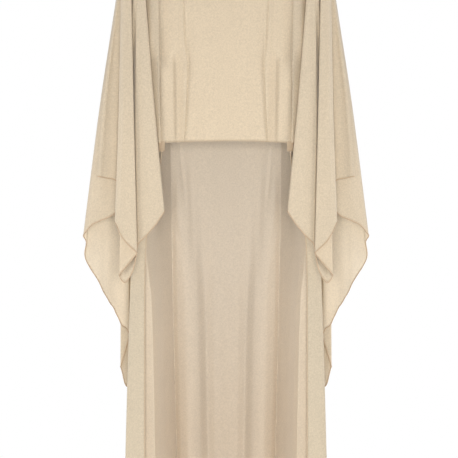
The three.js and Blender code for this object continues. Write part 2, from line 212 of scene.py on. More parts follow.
# Soft creases of the front panel, on both sides of its centre: distance from the centre at the
# three FRONT_CREASE_HEIGHTS, how far each stands out, its half width and the heights where it
# starts and ends.
FRONT_CREASES = table("top_x middle_x hem_x rise half_width starts ends", [
    (90, 88, 88, -1.4, 3.5, -235, -430),
    (84, 82, 82, -1.2, 6.0, -240, -440),
    (124, 116.3, 112.8, -6.6, 8.0, -335, -563),
    (146, 147, 148, 3.5, 14.0, -360, -563),
    (150, 150, 150, -4.0, 12.0, -90, -400),
    (157, 156, 158, -1.5, 2.2, -120, -540),
])
FRONT_CREASE_HEIGHTS = (-242, -400, -563)
FRONT_CREASE_FADE = 45  # the height in which a crease comes in or goes out

# Soft creases of the back panel, on both sides: the fold line each lies beyond, by what share of
# the way to the next one where it starts and where it ends, how far it stands out, its half
# width and the heights where it starts and ends.
BACK_CREASES = table("fold high_beyond low_beyond rise half_width starts ends", [
    ("corner", -1.35, -1.35, -2.0, 8.0, -640, -1480),
    ("outer flat", 0.30, -0.50, 2.6, 4.0, -500, -760),
    ("outer flat", 0.60, 0.10, -1.6, 7.0, -560, -900),
    ("corner", -0.90, -2.40, 2.2, 4.0, -700, -900),
    ("inner crease", -0.05, -0.05, 0.9, 3.0, -860, -1480),
    ("middle flat", 0.0, 0.0, 2.0, 9.0, -560, -900),
    ("side", 0.45, 0.45, -1.5, 16.0, -760, -1480),
])
BACK_CREASE_FADE = 120  # likewise

# Soft creases of a sleeve: the fold line it lies beyond and by what share of the way to the
# next one, how far it stands out, its half width, and where it starts and ends as shares of
# the sleeve's length.
SLEEVE_CREASES = table("fold beyond rise half_width starts ends", [
    ("strip", -0.6, 6.0, 12, -0.3, 0.55),
    ("strip", 0.45, 1.2, 7, 0.1, 0.9),
    ("under groove", 0.0, 5.0, 5, -0.2, 0.42),
    ("inner face", 0.35, 1.0, 9, 0.25, 1.0),
    ("inner face", 0.9, -0.8, 6, 0.15, 0.8),
    ("middle edge", 0.6, -0.9, 7, 0.35, 1.0),
    ("middle face", 0.45, 1.4, 8, 0.2, 0.95),
    ("flap right", 0.9, 1.8, 3, 0.0, 1.0),
    ("flap right", 0.4, -0.5, 6, 0.3, 1.0),
    ("outer middle", 0.5, 1.4, 10, 0.35, 1.0),
    ("wing edge", 0.6, 0.5, 18, 0.45, 1.0),
    ("wing upper", 0.6, -0.6, 20, 0.4, 1.0),
    ("wing lower", 0.7, 0.8, 14, 0.3, 0.95),
    ("wing outer", 0.5, -1.6, 10, 0.25, 0.9),
    ("wing back", 0.5, 1.5, 12, 0.2, 0.85),
])
SLEEVE_FADE_IN, SLEEVE_FADE_OUT = 0.2, 0.15  # likewise, as shares of its length

# Waves of a sleeve's hem: the fold line each lies beyond and by what share, how far the hem
# is let down there and its half width.
HEM_WAVES = table("fold beyond drop half_width", [
    ("inner face", 0.5, 1.5, 12),
    ("middle face", 0.5, 1.5, 9),
    ("flap edge", -0.5, 1.5, 8),
    ("outer middle", 0.2, -3.0, 9),
    ("outer middle", 0.7, 3.0, 9),
    ("wing upper", 0.25, 4.0, 16),
    ("wing lower", 0.05, -5.0, 13),
    ("wing lower", 0.5, 6.0, 10),
    ("wing lower", 0.8, -4.0, 9),
    ("wing outer", 0.6, 4.0, 12),
])
WAVE_REACH = 0.16  # how far up the sleeve a wave of its hem goes, as a share of its length


# ---------------------------------------------------------------- curves

def clamp01(value):
    return np.clip(value, 0.0, 1.0)


def smooth_step(value):
    held = clamp01(value)
    return held**2 * (3 - 2 * held)


def unit(vectors):
    return vectors / np.maximum(np.linalg.norm(vectors, axis=-1, keepdims=True), 1e-9)


def hump(distance, half_width):
    return np.exp(-((distance / half_width) ** 2))


def cubic(here, leaving, there, arriving, t):
    """From here to there. leaving and arriving are how far its slope at each end would take
    it over the whole stretch."""
    return (here * (2 * t**3 - 3 * t**2 + 1)
            + leaving * (t**3 - 2 * t**2 + t)
            + there * (3 * t**2 - 2 * t**3)
            + arriving * (t**3 - t**2))


def path_points(keys, knots, shares, first_slope=None):
    """Points at the shares of a smooth path that never swings past its keys. With a
    first_slope it leaves the first key that way, and the rest isn't bent by it."""
    keys, knots = np.asarray(keys, float), np.asarray(knots, float)
    chords = np.diff(keys, axis=0) / np.diff(knots)[:, None]
    start = 0 if first_slope is None else 1
    slopes = np.zeros_like(keys)
    slopes[start], slopes[-1] = chords[start], chords[-1]
    if first_slope is not None:
        slopes[0] = first_slope
    for i in range(start + 1, len(keys) - 1):
        before, after = chords[i - 1], chords[i]
        near, far = knots[i] - knots[i - 1], knots[i + 1] - knots[i]
        same_way = before * after > 0
        before, after = np.where(same_way, before, 1), np.where(same_way, after, 1)
        mean = 3 * (near + far) / ((2 * far + near) / before + (far + 2 * near) / after)
        slopes[i] = np.where(same_way, mean, 0)
    segment = np.searchsorted(knots[1:-1], shares, side="left")
    span = (knots[segment + 1] - knots[segment])[:, None]
    t = (shares - knots[segment])[:, None] / span
    return cubic(keys[segment], slopes[segment] * span,
                 keys[segment + 1], slopes[segment + 1] * span, t)


def crisp_corner(before, point, after):
    """Three points that keep a corner narrow."""
    sides = []
    for neighbour in (before, after):
        share = min(CRISP_MOST, CRISP_REACH / np.linalg.norm(neighbour - point))
        sides.append(point + (neighbour - point) * share)
    return [sides[0], point, sides[1]]


def round_turns(points, turns):
    """Four points round each place where the cloth doubles back in a half round."""
    corners = []
    for point, turn in zip(points, turns):
        half = np.array([0, turn / 2, 0])
        corners += [point - half, point + half] if abs(turn) > CRISP else [point]
    samples, corner = [], 0
    for turn in turns:
        if abs(turn) <= CRISP:
            around = corners[corner - 1:corner + 2]
            samples += crisp_corner(*around) if turn else [corners[corner]]
            corner += 1
            continue
        before, first, second, after = corners[corner - 1:corner + 3]
        middle = (first + second) / 2
        reach = abs(turn) * TURN_START
        into = min(TURN_MOST, reach / np.linalg.norm(before - first))
        out = min(TURN_MOST, reach / np.linalg.norm(after - second))
        enter, leave = first + (before - first) * into, second + (after - second) * out
        samples += [enter, enter / 4 + first / 2 + middle / 4,
                    middle / 4 + second / 2 + leave / 4, leave]
        corner += 2
    return np.array(samples)


def spread_turns(points, turns):
    """The same number of points where the cloth lies closed."""
    samples = []
    for index, (point, turn) in enumerate(zip(points, turns)):
        if abs(turn) <= CRISP:
            around = points[index - 1:index + 2]
            samples += crisp_corner(*around) if turn else [point]
            continue
        for neighbour, shares in ((points[index - 1], (CLOSED_FAR, CLOSED_NEAR)),
                                  (points[index + 1], (CLOSED_NEAR, CLOSED_FAR))):
            samples += [point + (neighbour - point) * share for share in shares]
    return np.array(samples)


def sample_names(folds):
    """The name of the fold line that each sample across the cloth belongs to."""
    counts = {0: PLAIN_SAMPLES, CRISP: CRISP_SAMPLES}
    return [fold.name for fold in folds for _ in range(counts.get(fold.turn, TURN_SAMPLES))]


def smooth_across(rows, step, straight_ends=0):
    """Passes a smooth curve through each row's points, which stay on it. Gives the new rows
    and where each of their points lies, counted in the old ones."""
    chord = np.linalg.norm(np.diff(rows, axis=1), axis=2)
    spans = np.maximum(chord, 1e-6) ** 0.5
    slope = np.zeros_like(rows)
    steps = np.diff(rows, axis=1) / spans[..., None]
    near, far = spans[:, :-1, None], spans[:, 1:, None]
    slope[:, 1:-1] = (far * steps[:, :-1] + near * steps[:, 1:]) / (near + far)
    slope[:, 0], slope[:, -1] = steps[:, 0], steps[:, -1]
    count = rows.shape[1] - 1
    pieces, places = [rows[:, :1]], [np.zeros(1)]
    for i in range(count):
        parts = max(2, math.ceil(chord[:, i].max() / step))
        t = (np.arange(1, parts + 1) / parts)[None, :, None]
        here, there = rows[:, i, None], rows[:, i + 1, None]
        span = spans[:, i, None, None]
        if i < straight_ends or i >= count - straight_ends:
            curve = here + (there - here) * t
        else:
            curve = cubic(here, slope[:, i, None] * span,
                          there, slope[:, i + 1, None] * span, t)
        pieces.append(curve)
        places.append(i + t[0, :, 0])
    return np.concatenate(pieces, axis=1), np.concatenate(places)


# ---------------------------------------------------------------- the body's form

def shoulder_z(x):
    beyond = np.maximum(0, np.abs(x) - NECK_HALF_WIDTH) / (SHOULDER_TIP_X - NECK_HALF_WIDTH)
    return NECK_POINT_Z + (SHOULDER_TIP_Z - NECK_POINT_Z) * beyond**SHOULDER_CURVE


def fullness(x, z):
    fallen = clamp01((shoulder_z(x) - z) / FULL_DEPTH_BELOW_SHOULDER)
    return np.sqrt(1 - (1 - fallen) ** 2)


def top_edge_z(x, neck_drop):
    across = np.minimum(1, np.abs(x) / NECK_HALF_WIDTH)
    return shoulder_z(x) - neck_drop * (1 - across**2) ** NECK_CURVE


def near_shoulder(z):
    return clamp01((z - CHEST_Z) / (SHOULDER_TIP_Z - CHEST_Z))


def front_seam_at(z):
    per_mm = (CHEST_SEAM_X - FRONT_SEAM_X) / (CHEST_Z - FRONT_SEAM_END_Z)
    below = FRONT_SEAM_X + (z - FRONT_SEAM_END_Z) * per_mm
    flare = (SLEEVE_TOP_SEAM_X - CHEST_SEAM_X) * near_shoulder(z) ** SEAM_FLARE_CURVE
    return np.minimum(below, CHEST_SEAM_X) + flare


def lap_at(z):
    return LAP_WIDTH * (1 - LAP_LOSS_AT_SHOULDER * near_shoulder(z))


def faded(z, crease, fade, hem_z):
    """How much of a crease there is at heights z: all between its two ends, none beyond them.
    One that ends at the hem doesn't fade there."""
    tail = 1.0 if crease.ends <= hem_z else smooth_step((z - crease.ends) / fade)
    return smooth_step((crease.starts - z) / fade) * tail


def front_fold_rise(side, z):
    heights = [fold.z for fold in FRONT_FOLD]
    edge, rise, reach = (np.interp(z, heights, [getattr(fold, name) for fold in FRONT_FOLD])
                         for name in ("x", "rise", "reach"))
    beyond = side - edge
    inner = 1 - smooth_step(-beyond / FRONT_FOLD_EDGE)
    return rise * np.where(beyond > 0, np.exp(-((beyond / reach) ** 4)), inner)


def front_rise(side, z):
    rise = front_fold_rise(side, z)
    for crease in FRONT_CREASES:
        xs = (crease.hem_x, crease.middle_x, crease.top_x)
        centre = np.interp(z, FRONT_CREASE_HEIGHTS[::-1], xs)
        rise = rise + (crease.rise * hump(side - centre, crease.half_width)
                       * faded(z, crease, FRONT_CREASE_FADE, FRONT_HEM_Z))
    return rise


def front_point(x, z, creased=True):
    x, z = np.broadcast_arrays(np.asarray(x, float), np.asarray(z, float))
    side = np.abs(x)
    full = (FRONT_DEPTH - FRONT_SIDE_FALL * (side / FRONT_SEAM_X) ** 2) * fullness(x, z)
    rise = front_rise(side, z) if creased else 0
    lean = FRONT_FOLD_LEAN * front_fold_rise(side, z) if creased else 0
    return np.stack([x - np.sign(x) * lean, -full - rise - SHOULDER_GAP / 2, z], axis=-1)


def front_hem_at(x):
    straight = FRONT_HEM_Z - FRONT_HEM_SIDE_FALL * (x / FRONT_SEAM_X) ** 2
    return np.where(np.abs(x) > FRONT_TAB_X, straight - FRONT_TAB_LENGTH, straight)


def sewn_x(x, z):
    """Moves the front's side edge, and what is beside it, to where it is sewn at heights z."""
    outer = clamp01((abs(x) - NECK_HALF_WIDTH) / (FRONT_SEAM_X - NECK_HALF_WIDTH))
    lap_share = clamp01((abs(x) - FRONT_SEAM_X) / LAP_WIDTH)
    lap_lost = (LAP_WIDTH - lap_at(z)) * lap_share
    return x + np.sign(x) * (outer * (front_seam_at(z) - FRONT_SEAM_X) - lap_lost)


def front_grid():
    """Columns close together over the creases and at the tab's edge, rows closer at the top."""
    fine_from, fine_to = FRONT_FINE_BAND
    inner, fine, outer = FRONT_COLUMNS
    half = np.unique(np.concatenate([
        np.linspace(0, fine_from, inner), np.linspace(fine_from, fine_to, fine),
        np.linspace(fine_to, FRONT_SEAM_X + LAP_WIDTH, outer),
        [FRONT_TAB_X - FRONT_TAB_CORNER, FRONT_TAB_X + FRONT_TAB_CORNER]]))
    columns = np.concatenate([-half[:0:-1], half])
    shares = np.linspace(0, 1, FRONT_ROWS) ** 2
    lines = []
    for x in columns:
        top = top_edge_z(sewn_x(x, SHOULDER_TIP_Z), FRONT_NECK_DROP)
        z = top + (front_hem_at(x) - top) * shares
        lines.append(front_point(sewn_x(x, z), z))
    return np.stack(lines, axis=1)


# ---------------------------------------------------------------- the back panel

BACK_NAMES = sample_names(BACK_FOLDS)
BACK_SEAM = BACK_NAMES.index("sleeve seam")


def back_keys():
    turns = [fold.turn for fold in BACK_FOLDS]
    levels = []
    for level in BACK_LEVELS:
        points = [np.array([*getattr(fold, level), 0.0]) for fold in BACK_FOLDS]
        closed = level in ("chest", "seam_end")
        levels.append((spread_turns if closed else round_turns)(points, turns))
    return np.stack(levels, axis=1)


BACK_KEYS = back_keys()


def back_place(column, z):
    """Points of one fold line of the back panel at heights z."""
    z = np.asarray(z, float)
    down = np.maximum(-z, -CHEST_Z)
    place = path_points(BACK_KEYS[column], BACK_HEIGHTS, down)
    if column == len(BACK_KEYS) - 1:
        joined = smooth_step((z - FRONT_SEAM_END_Z + SIDE_SEAM_RELEASE) / SIDE_SEAM_RELEASE)
        inside = front_point(place[:, 0], z, creased=False)[:, 1] + CAD_WALL / 2 + SIDE_SEAM_GAP
        place[:, 1] += (inside - place[:, 1]) * joined
    beyond = max(0, column - BACK_SEAM)
    if beyond:
        seam = path_points(BACK_KEYS[BACK_SEAM], BACK_HEIGHTS, down)
        step = np.array([*ARMHOLE_STEP, 0.0]) * beyond
        reached = smooth_step((ARMHOLE_Z - z) / (ARMHOLE_Z - UNDERARM_Z))[:, None]
        place = seam + step + (place - seam - step) * reached
    behind = place[:, 1] > 0
    place[:, 1] *= np.where(behind, fullness(place[:, 0], z), 1)
    place[:, 1] += SHOULDER_GAP / 2
    place[:, 2] = z
    return place


def back_grid():
    """The whole panel, with its rows closer together towards the shoulders."""
    top = BACK_TOP_SHARE * (np.arange(BACK_TOP_ROWS) / BACK_TOP_ROWS) ** BACK_TOP_CURVE
    low = BACK_TOP_SHARE + (1 - BACK_TOP_SHARE) * np.linspace(0, 1, BACK_LOW_ROWS)
    shares = np.concatenate([top, low])
    lines = []
    for column in range(len(BACK_KEYS)):
        near_x = back_place(column, [ARM_LEVEL_Z])[0, 0]
        start = top_edge_z(near_x, BACK_NECK_DROP)
        lines.append(back_place(column, start + (TRAIN_HEM_Z - start) * shares))
    half = np.stack(lines, axis=1)
    mirrored = half[:, :0:-1] * np.array([-1, 1, 1])
    return smooth_across(np.concatenate([mirrored, half], axis=1), BACK_STEP)


# ---------------------------------------------------------------- the sleeves

def lifted_off(surface, z):
    """Points lifted off the panel that a sleeve is sewn to."""
    z = np.asarray(z, float)
    here = surface(0.0, z)
    across = surface(SLOPE_STEP, z) - surface(-SLOPE_STEP, z)
    down = surface(0.0, z - SLOPE_STEP) - here
    normal = unit(np.cross(across, down))
    way = np.where(normal[:, 1] * here[:, 1] < 0, -1, 1)
    lift = SEAM_LIFT + SHOULDER_LIFT * near_shoulder(z) ** 2
    return here + normal * (lift * way)[:, None]


def on_front(z, beyond_seam=0.0):
    return lifted_off(
        lambda step, height: front_point(front_seam_at(height) + beyond_seam + step, height), z)


def on_back(z):
    def along_panel(step, height):
        here = back_place(BACK_SEAM, height)
        toward = back_place(BACK_SEAM + (1 if step >= 0 else -1), height)
        return here + unit(toward - here) * abs(step)
    return lifted_off(along_panel, z)


SLEEVE_NAMES = sample_names(SLEEVE_FOLDS)


def sleeve_columns():
    """Down each fold line: its four keys, their knots and the slope it starts with."""
    turns = [0, *[fold.turn for fold in SLEEVE_FOLDS], 0]

    def level(key, height, front_z, back_z):
        places = [np.array([*getattr(fold, key), height][:3], float) for fold in SLEEVE_FOLDS]
        first, last = on_front([front_z], SLEEVE_LAP)[0], on_back([back_z])[0]
        return np.vstack([on_front([front_z]), round_turns([first, *places, last], turns)])

    chest = level("chest", CHEST_Z, CHEST_Z, CHEST_Z)
    elbow = level("elbow", ELBOW_Z, ELBOW_Z, ELBOW_Z)
    hem = level("hem", 0, FRONT_SEAM_END_Z, SLEEVE_SEAM_END_Z)
    outer = SLEEVE_NAMES.index("outer edge") + LAP_COLUMNS
    columns = []
    for index in range(len(chest)):
        behind = (index - outer) / (len(chest) - 1 - outer)
        at = (OUTER_EDGE_SHARE * index / outer if behind < 0
              else OUTER_EDGE_SHARE + (1 - OUTER_EDGE_SHARE) * behind)
        away = abs(1 - 2 * at)
        z = shoulder_z(SLEEVE_TOP_SEAM_X) - SLEEVE_TOP_DROP - SLEEVE_ARC_DEPTH * away**2
        top = (on_front([z]) if at < 0.5 else on_back([z]))[0]
        outward = unit(np.array([1, 0, -SLEEVE_TOP_FALL * (1 - away)]))
        reach = SLEEVE_FULLNESS_AT_SHOULDER * np.linalg.norm(chest[index] - top) / CHEST_SHARE
        elbow_share = (CHEST_Z - ELBOW_Z) / (CHEST_Z - hem[index][2])
        knots = (0, CHEST_SHARE, CHEST_SHARE + (1 - CHEST_SHARE) * elbow_share, 1)
        columns.append(((top, chest[index], elbow[index], hem[index]), knots, outward * reach))
    return columns


def sleeve_grid():
    """The left sleeve's points, where each lies among the fold lines' samples, and how far
    down the sleeve each row is."""
    top = CHEST_SHARE * np.arange(SLEEVE_TOP_ROWS) / SLEEVE_TOP_ROWS
    shares = np.concatenate([top, np.linspace(CHEST_SHARE, 1, SLEEVE_LOW_ROWS)])
    columns = sleeve_columns()
    lines = []
    for index, (keys, knots, slope) in enumerate(columns):
        below = clamp01((shares - CHEST_SHARE) / (1 - CHEST_SHARE))
        above = clamp01(shares / CHEST_SHARE)
        z = np.where(shares < CHEST_SHARE,
                     keys[0][2] + (keys[1][2] - keys[0][2]) * above,
                     keys[1][2] + (keys[3][2] - keys[1][2]) * below)
        if index == 0:
            lines.append(on_front(z))
        elif index == 1:
            lines.append(on_front(z, SLEEVE_LAP * above))
        elif index == len(columns) - 1:
            lines.append(on_back(z))
        else:
            lines.append(path_points(keys, knots, shares, slope))
    rows, places = smooth_across(np.stack(lines, axis=1), SLEEVE_STEP, straight_ends=1)
    return rows, places, shares


# ---------------------------------------------------------------- creases

def normals_of(grid):
    """Unit normals of a grid of points."""
    return unit(np.cross(np.gradient(grid, axis=1), np.gradient(grid, axis=0)))


def lengths_across(grid):
    chords = np.linalg.norm(np.diff(grid, axis=1), axis=2)
    return np.concatenate([np.zeros((len(grid), 1)), np.cumsum(chords, axis=1)], axis=1)


def lengths_down(grid):
    chords = np.linalg.norm(np.diff(grid, axis=0), axis=2)
    return np.concatenate([np.zeros((1, grid.shape[1])), np.cumsum(chords, axis=0)], axis=0)


def fold_place(names, fold, beyond, first):
    """Where a crease lies, counted in the fold lines' samples: beyond the middle of a crisp
    fold, or the far side of a turn. first is where the first fold line's samples start."""
    count = names.count(fold)
    start = names.index(fold) + (1 if count == CRISP_SAMPLES else 0)
    if count == TURN_SAMPLES and np.all(beyond >= 0):
        start += TURN_SAMPLES - 1
    return first + start + beyond


def raise_creases(grid, places, creases):
    """Moves a grid along its normals by soft troughs and ridges. creases are (place, rise,
    half width, how much of it there is at each point)."""
    across = lengths_across(grid)
    rise = np.zeros(grid.shape[:2])
    for place, height, half_width, amount in creases:
        place = np.broadcast_to(place, len(grid))
        centre = np.array([np.interp(at, places, row) for at, row in zip(place, across)])
        rise += height * hump(across - centre[:, None], half_width) * amount
    return grid + normals_of(grid) * rise[..., None]


# ---------------------------------------------------------------- meshes

CHART_UNIT = 10  # length on the cloth of one unit of its map
THREAD_SLOT = 2  # after the outer and the inner face
BEAD_SIDES = 8
BEAD_SHORTEST_STEP = 0.05
STITCH_PITCH = 3.0


def make_piece(name, points, faces, materials):
    """A smoothly shaded piece with these points, faces and materials."""
    mesh = bpy.data.meshes.new(name)
    mesh.from_pydata((points * MM).reshape(-1, 3).tolist(), [], faces)
    mesh.update()
    mesh.polygons.foreach_set("use_smooth", np.ones(len(mesh.polygons), bool))
    for material in materials:
        mesh.materials.append(material)
    piece = bpy.data.objects.new(name, mesh)
    bpy.context.scene.collection.objects.link(piece)
    return piece


def cloth_piece(name, grid, flip, materials, symmetric=False):
    """A thin shell on a grid of points. Its outer face has the first material and its inner
    face the second. Its map holds lengths on the cloth, from the middle of a symmetric one."""
    rows, columns = grid.shape[:2]
    index = np.arange(rows * columns).reshape(rows, columns)
    faces = np.stack([index[:-1, :-1], index[:-1, 1:], index[1:, 1:], index[1:, :-1]], axis=-1)
    faces = faces.reshape(-1, 4)
    if flip:
        faces = faces[:, ::-1]
    piece = make_piece(f"cloth_{name}", grid, faces.tolist(), materials)
    mesh = piece.data
    across, down = lengths_across(grid) / CHART_UNIT, lengths_down(grid) / CHART_UNIT
    middle = across[:, columns // 2][:, None] if symmetric else 0
    chart = np.stack([across - middle, -down], axis=-1).reshape(-1, 2)
    layer = mesh.uv_layers.new(name="cloth")
    loop_points = np.zeros(len(mesh.loops), np.int32)
    mesh.loops.foreach_get("vertex_index", loop_points)
    layer.data.foreach_set("uv", chart[loop_points].astype(np.float32).ravel())
    shell = piece.modifiers.new("cloth thickness", "SOLIDIFY")
    shell.thickness = CLOTH * MM
    shell.offset = 0
    shell.material_offset = 1
    shell.material_offset_rim = 0
    return piece


def bead(name, path, radius, material, twist):
    """A rolled edge: a tube along a path of points, with a slight twist of its stitches."""
    path = np.asarray(path, float)
    steps = np.linalg.norm(np.diff(path, axis=0), axis=1)
    path = path[np.concatenate([[True], steps > BEAD_SHORTEST_STEP])]
    ahead = unit(np.gradient(path, axis=0))
    side = np.zeros_like(path)
    runs_along_y = abs(ahead[0][1]) >= 0.9
    guide = np.array([0.0, 0.0, 1.0]) if runs_along_y else np.array([0.0, 1.0, 0.0])
    for i, way in enumerate(ahead):
        guide = unit(guide - way * np.dot(guide, way))
        side[i] = guide
    up = np.cross(ahead, side)
    along = np.concatenate([[0], np.cumsum(np.linalg.norm(np.diff(path, axis=0), axis=1))])
    angles = np.arange(BEAD_SIDES) * 2 * math.pi / BEAD_SIDES
    turned = along[:, None] * 2 * math.pi / STITCH_PITCH + angles[None, :]
    ring = (np.cos(angles)[None, :, None] * side[:, None]
            + np.sin(angles)[None, :, None] * up[:, None])
    points = path[:, None] + ring * (radius * (1 + twist * np.sin(turned)))[..., None]
    rings = np.arange(len(path) * BEAD_SIDES).reshape(len(path), BEAD_SIDES).tolist()
    faces = [(near[k - 1], far[k - 1], far[k], near[k])
             for near, far in zip(rings, rings[1:]) for k in range(BEAD_SIDES)]
    return make_piece(name, points, [*faces, rings[0], rings[-1][::-1]], [material])


# ---------------------------------------------------------------- materials

WALES_A_CM = 9.0
COURSES_A_CM = 11.0
LOOP_HEIGHT = 0.25  # of a knit loop, as a share of a rib's

# Noises of the cloth: scale, detail and roughness
YARN_NOISE = (270.0, 2.0, 0.65)
MOTTLE_NOISE = (24.0, 3.0, 0.55)
PATCH_NOISE = (5.0, 2.0, 0.5)
GLINT_NOISE = (900.0, 1.0, 0.5)
THREAD_NOISE = (900.0, 2.0, 0.5)
YARN_SHARE, MOTTLE_SHARE, PATCH_SHARE = 0.80, 0.12, 0.08  # of the cloth's tone
TONE_RANGE = (0.34, 0.66)

# Painted light and shade on the inner faces: the far colour's share, painted light behind the
# wearer, is the first number times y plus the second, between 0 and 1. The low colour's share of
# that, painted shade lower down, goes with z in the same way.
PAINTED_LIGHT_BEHIND = (12.0, 0.8)
PAINTED_SHADE_LOW = (-1.5, -0.9)

# The glints show where their noise is above a level, and change what the cloth has by these
GLINT_LEVEL, GLINT_GAIN, GLINT_SOFTNESS = 0.60, 6.0, 0.1
GLINT_COLOUR = (0.86, 0.78, 0.64)
GLINT_TINT = 0.35
ROUGHNESS, GLINT_POLISH = 0.60, -0.22
METAL, GLINT_METAL = 0.10, 0.35

SPECULAR = 0.35
SHEEN_ROUGHNESS = 0.45
SHEEN_TINT = (1.0, 0.95, 0.88)
KNIT_BUMP = (0.35, 0.00025)  # strength and distance
YARN_BUMP = (0.30, 0.0006)

THREAD_RANGE = (0.35, 0.65)
THREAD_SHADES = (0.86, 1.08)
THREAD_BUMP = (0.4, 0.0003)
THREAD_ROUGHNESS = 0.65
THREAD_SHEEN = 0.15

OUTER_FACE, INNER_FACE = table("grain sheen", [(0.09, 0.50), (0.07, 0.20)])
OUTER_COLOUR = (0.600, 0.499, 0.364)
# The sleeves' and the back's outer faces are the front's jersey painted darker: painted shade.
SLEEVE_OUTER_PAINTED_SHADE = (0.564, 0.474, 0.350)
TRAIN_OUTER_PAINTED_SHADE = (0.520, 0.446, 0.334)
# The back's inner face behind the wearer is painted lighter and greyer: painted light in its
# hollow with a cool painted shade. Lower down it is painted darker: painted shade.
BACK_INNER_PAINTED_LIGHT = (0.688, 0.610, 0.506)
BACK_LOW_PAINTED_SHADE = (0.590, 0.498, 0.390)
# The sleeves' inner faces behind the wearer are painted much lighter: painted light, as if
# shining through the thin cloth. Lower down they are painted darker: painted shade.
SLEEVE_INNER_PAINTED_LIGHT = (0.980, 0.868, 0.690)
SLEEVE_LOW_PAINTED_SHADE = (0.650, 0.560, 0.440)
FRONT_HEM_COLOUR = (0.540, 0.420, 0.290)
# The sleeves' hem thread: its own colour, darkened with painted shade of the turned edge.
SLEEVE_HEM_THREAD_AND_SHADE = (0.540, 0.400, 0.270)


class Nodes:
    """Short names for making and linking a new material's shader nodes."""

    def __init__(self, name):
        self.material = bpy.data.materials.new(name)
        self.material.use_nodes = True
        self.tree = self.material.node_tree
        self.tree.nodes.clear()

    def add(self, kind, inputs=(), **settings):
        """A node with these settings. inputs maps its sockets to outputs or plain values."""
        node = self.tree.nodes.new(kind)
        for name, value in settings.items():
            setattr(node, name, value)
        for name, value in dict(inputs).items():
            self.feed(node.inputs[name], value)
        return node

    def feed(self, socket, value):
        if hasattr(value, "is_output"):
            self.tree.links.new(value, socket)
        else:
            socket.default_value = (*value, 1) if isinstance(value, tuple) else value

    def math(self, operation, *values):
        inputs = enumerate(values)
        return self.add("ShaderNodeMath", inputs, operation=operation).outputs[0]

    def axes(self, vector):
        return self.add("ShaderNodeSeparateXYZ", {0: vector}).outputs

    def noise(self, vector, settings):
        scale, detail, roughness = settings
        inputs = {"Vector": vector, "Scale": scale, "Detail": detail, "Roughness": roughness}
        return self.add("ShaderNodeTexNoise", inputs).outputs["Fac"]

    def ramp(self, factor, places, colours):
        """From the first colour at the first place to the second at the second."""
        node = self.add("ShaderNodeValToRGB", {"Fac": factor})
        for element, place, colour in zip(node.color_ramp.elements, places, colours):
            element.position = place
            element.color = (*colour, 1)
        return node.outputs["Color"]

    def mix(self, factor, first, second, blend_type="MIX"):
        inputs = {"Factor": factor, "A": first, "B": second}
        node = self.add("ShaderNodeMix", inputs, data_type="RGBA", blend_type=blend_type)
        return node.outputs["Result"]

    def bump(self, height, settings, below=None):
        """The normals of this relief, on top of those below it."""
        strength, distance = settings
        inputs = {"Height": height, "Strength": strength, "Distance": distance}
        if below:
            inputs["Normal"] = below
        return self.add("ShaderNodeBump", inputs).outputs["Normal"]

    def finish(self, kind, inputs):
        """Gives the material this shader as its surface."""
        surface = self.add(kind, inputs).outputs[0]
        self.add("ShaderNodeOutputMaterial", {"Surface": surface})
        return self.material


def knit_relief(nodes):
    """Ribs of V-shaped loops, in the lengths of the cloth's map."""
    chart = nodes.axes(nodes.add("ShaderNodeUVMap", uv_map="cloth").outputs["UV"])
    wale = nodes.math("MULTIPLY", chart["X"], WALES_A_CM)
    slant = nodes.math("ABSOLUTE", nodes.math("SUBTRACT", nodes.math("FRACT", wale), 0.5))
    course = nodes.math("MULTIPLY", chart["Y"], COURSES_A_CM)
    loops = nodes.math("SINE", nodes.math("MULTIPLY", nodes.math("ADD", course, slant), math.tau))
    return nodes.math("MULTIPLY_ADD", loops, LOOP_HEIGHT, nodes.math("MULTIPLY", slant, 2.0))


def painted_light_over_dye(nodes, place, near, far, low):
    """The near colour in front of the wearer, with painted light behind them in the far one and
    painted shade by the legs in the low one.
    """
    axes = nodes.axes(place)
    behind = nodes.math("MULTIPLY_ADD", axes["Y"], *PAINTED_LIGHT_BEHIND)
    fallen = nodes.math("MULTIPLY_ADD", axes["Z"], *PAINTED_SHADE_LOW)
    share = nodes.ramp(behind, (0, 1), ((0, 0, 0), (1, 1, 1)))
    return nodes.mix(share, near, nodes.ramp(fallen, (0, 1), (far, low)))


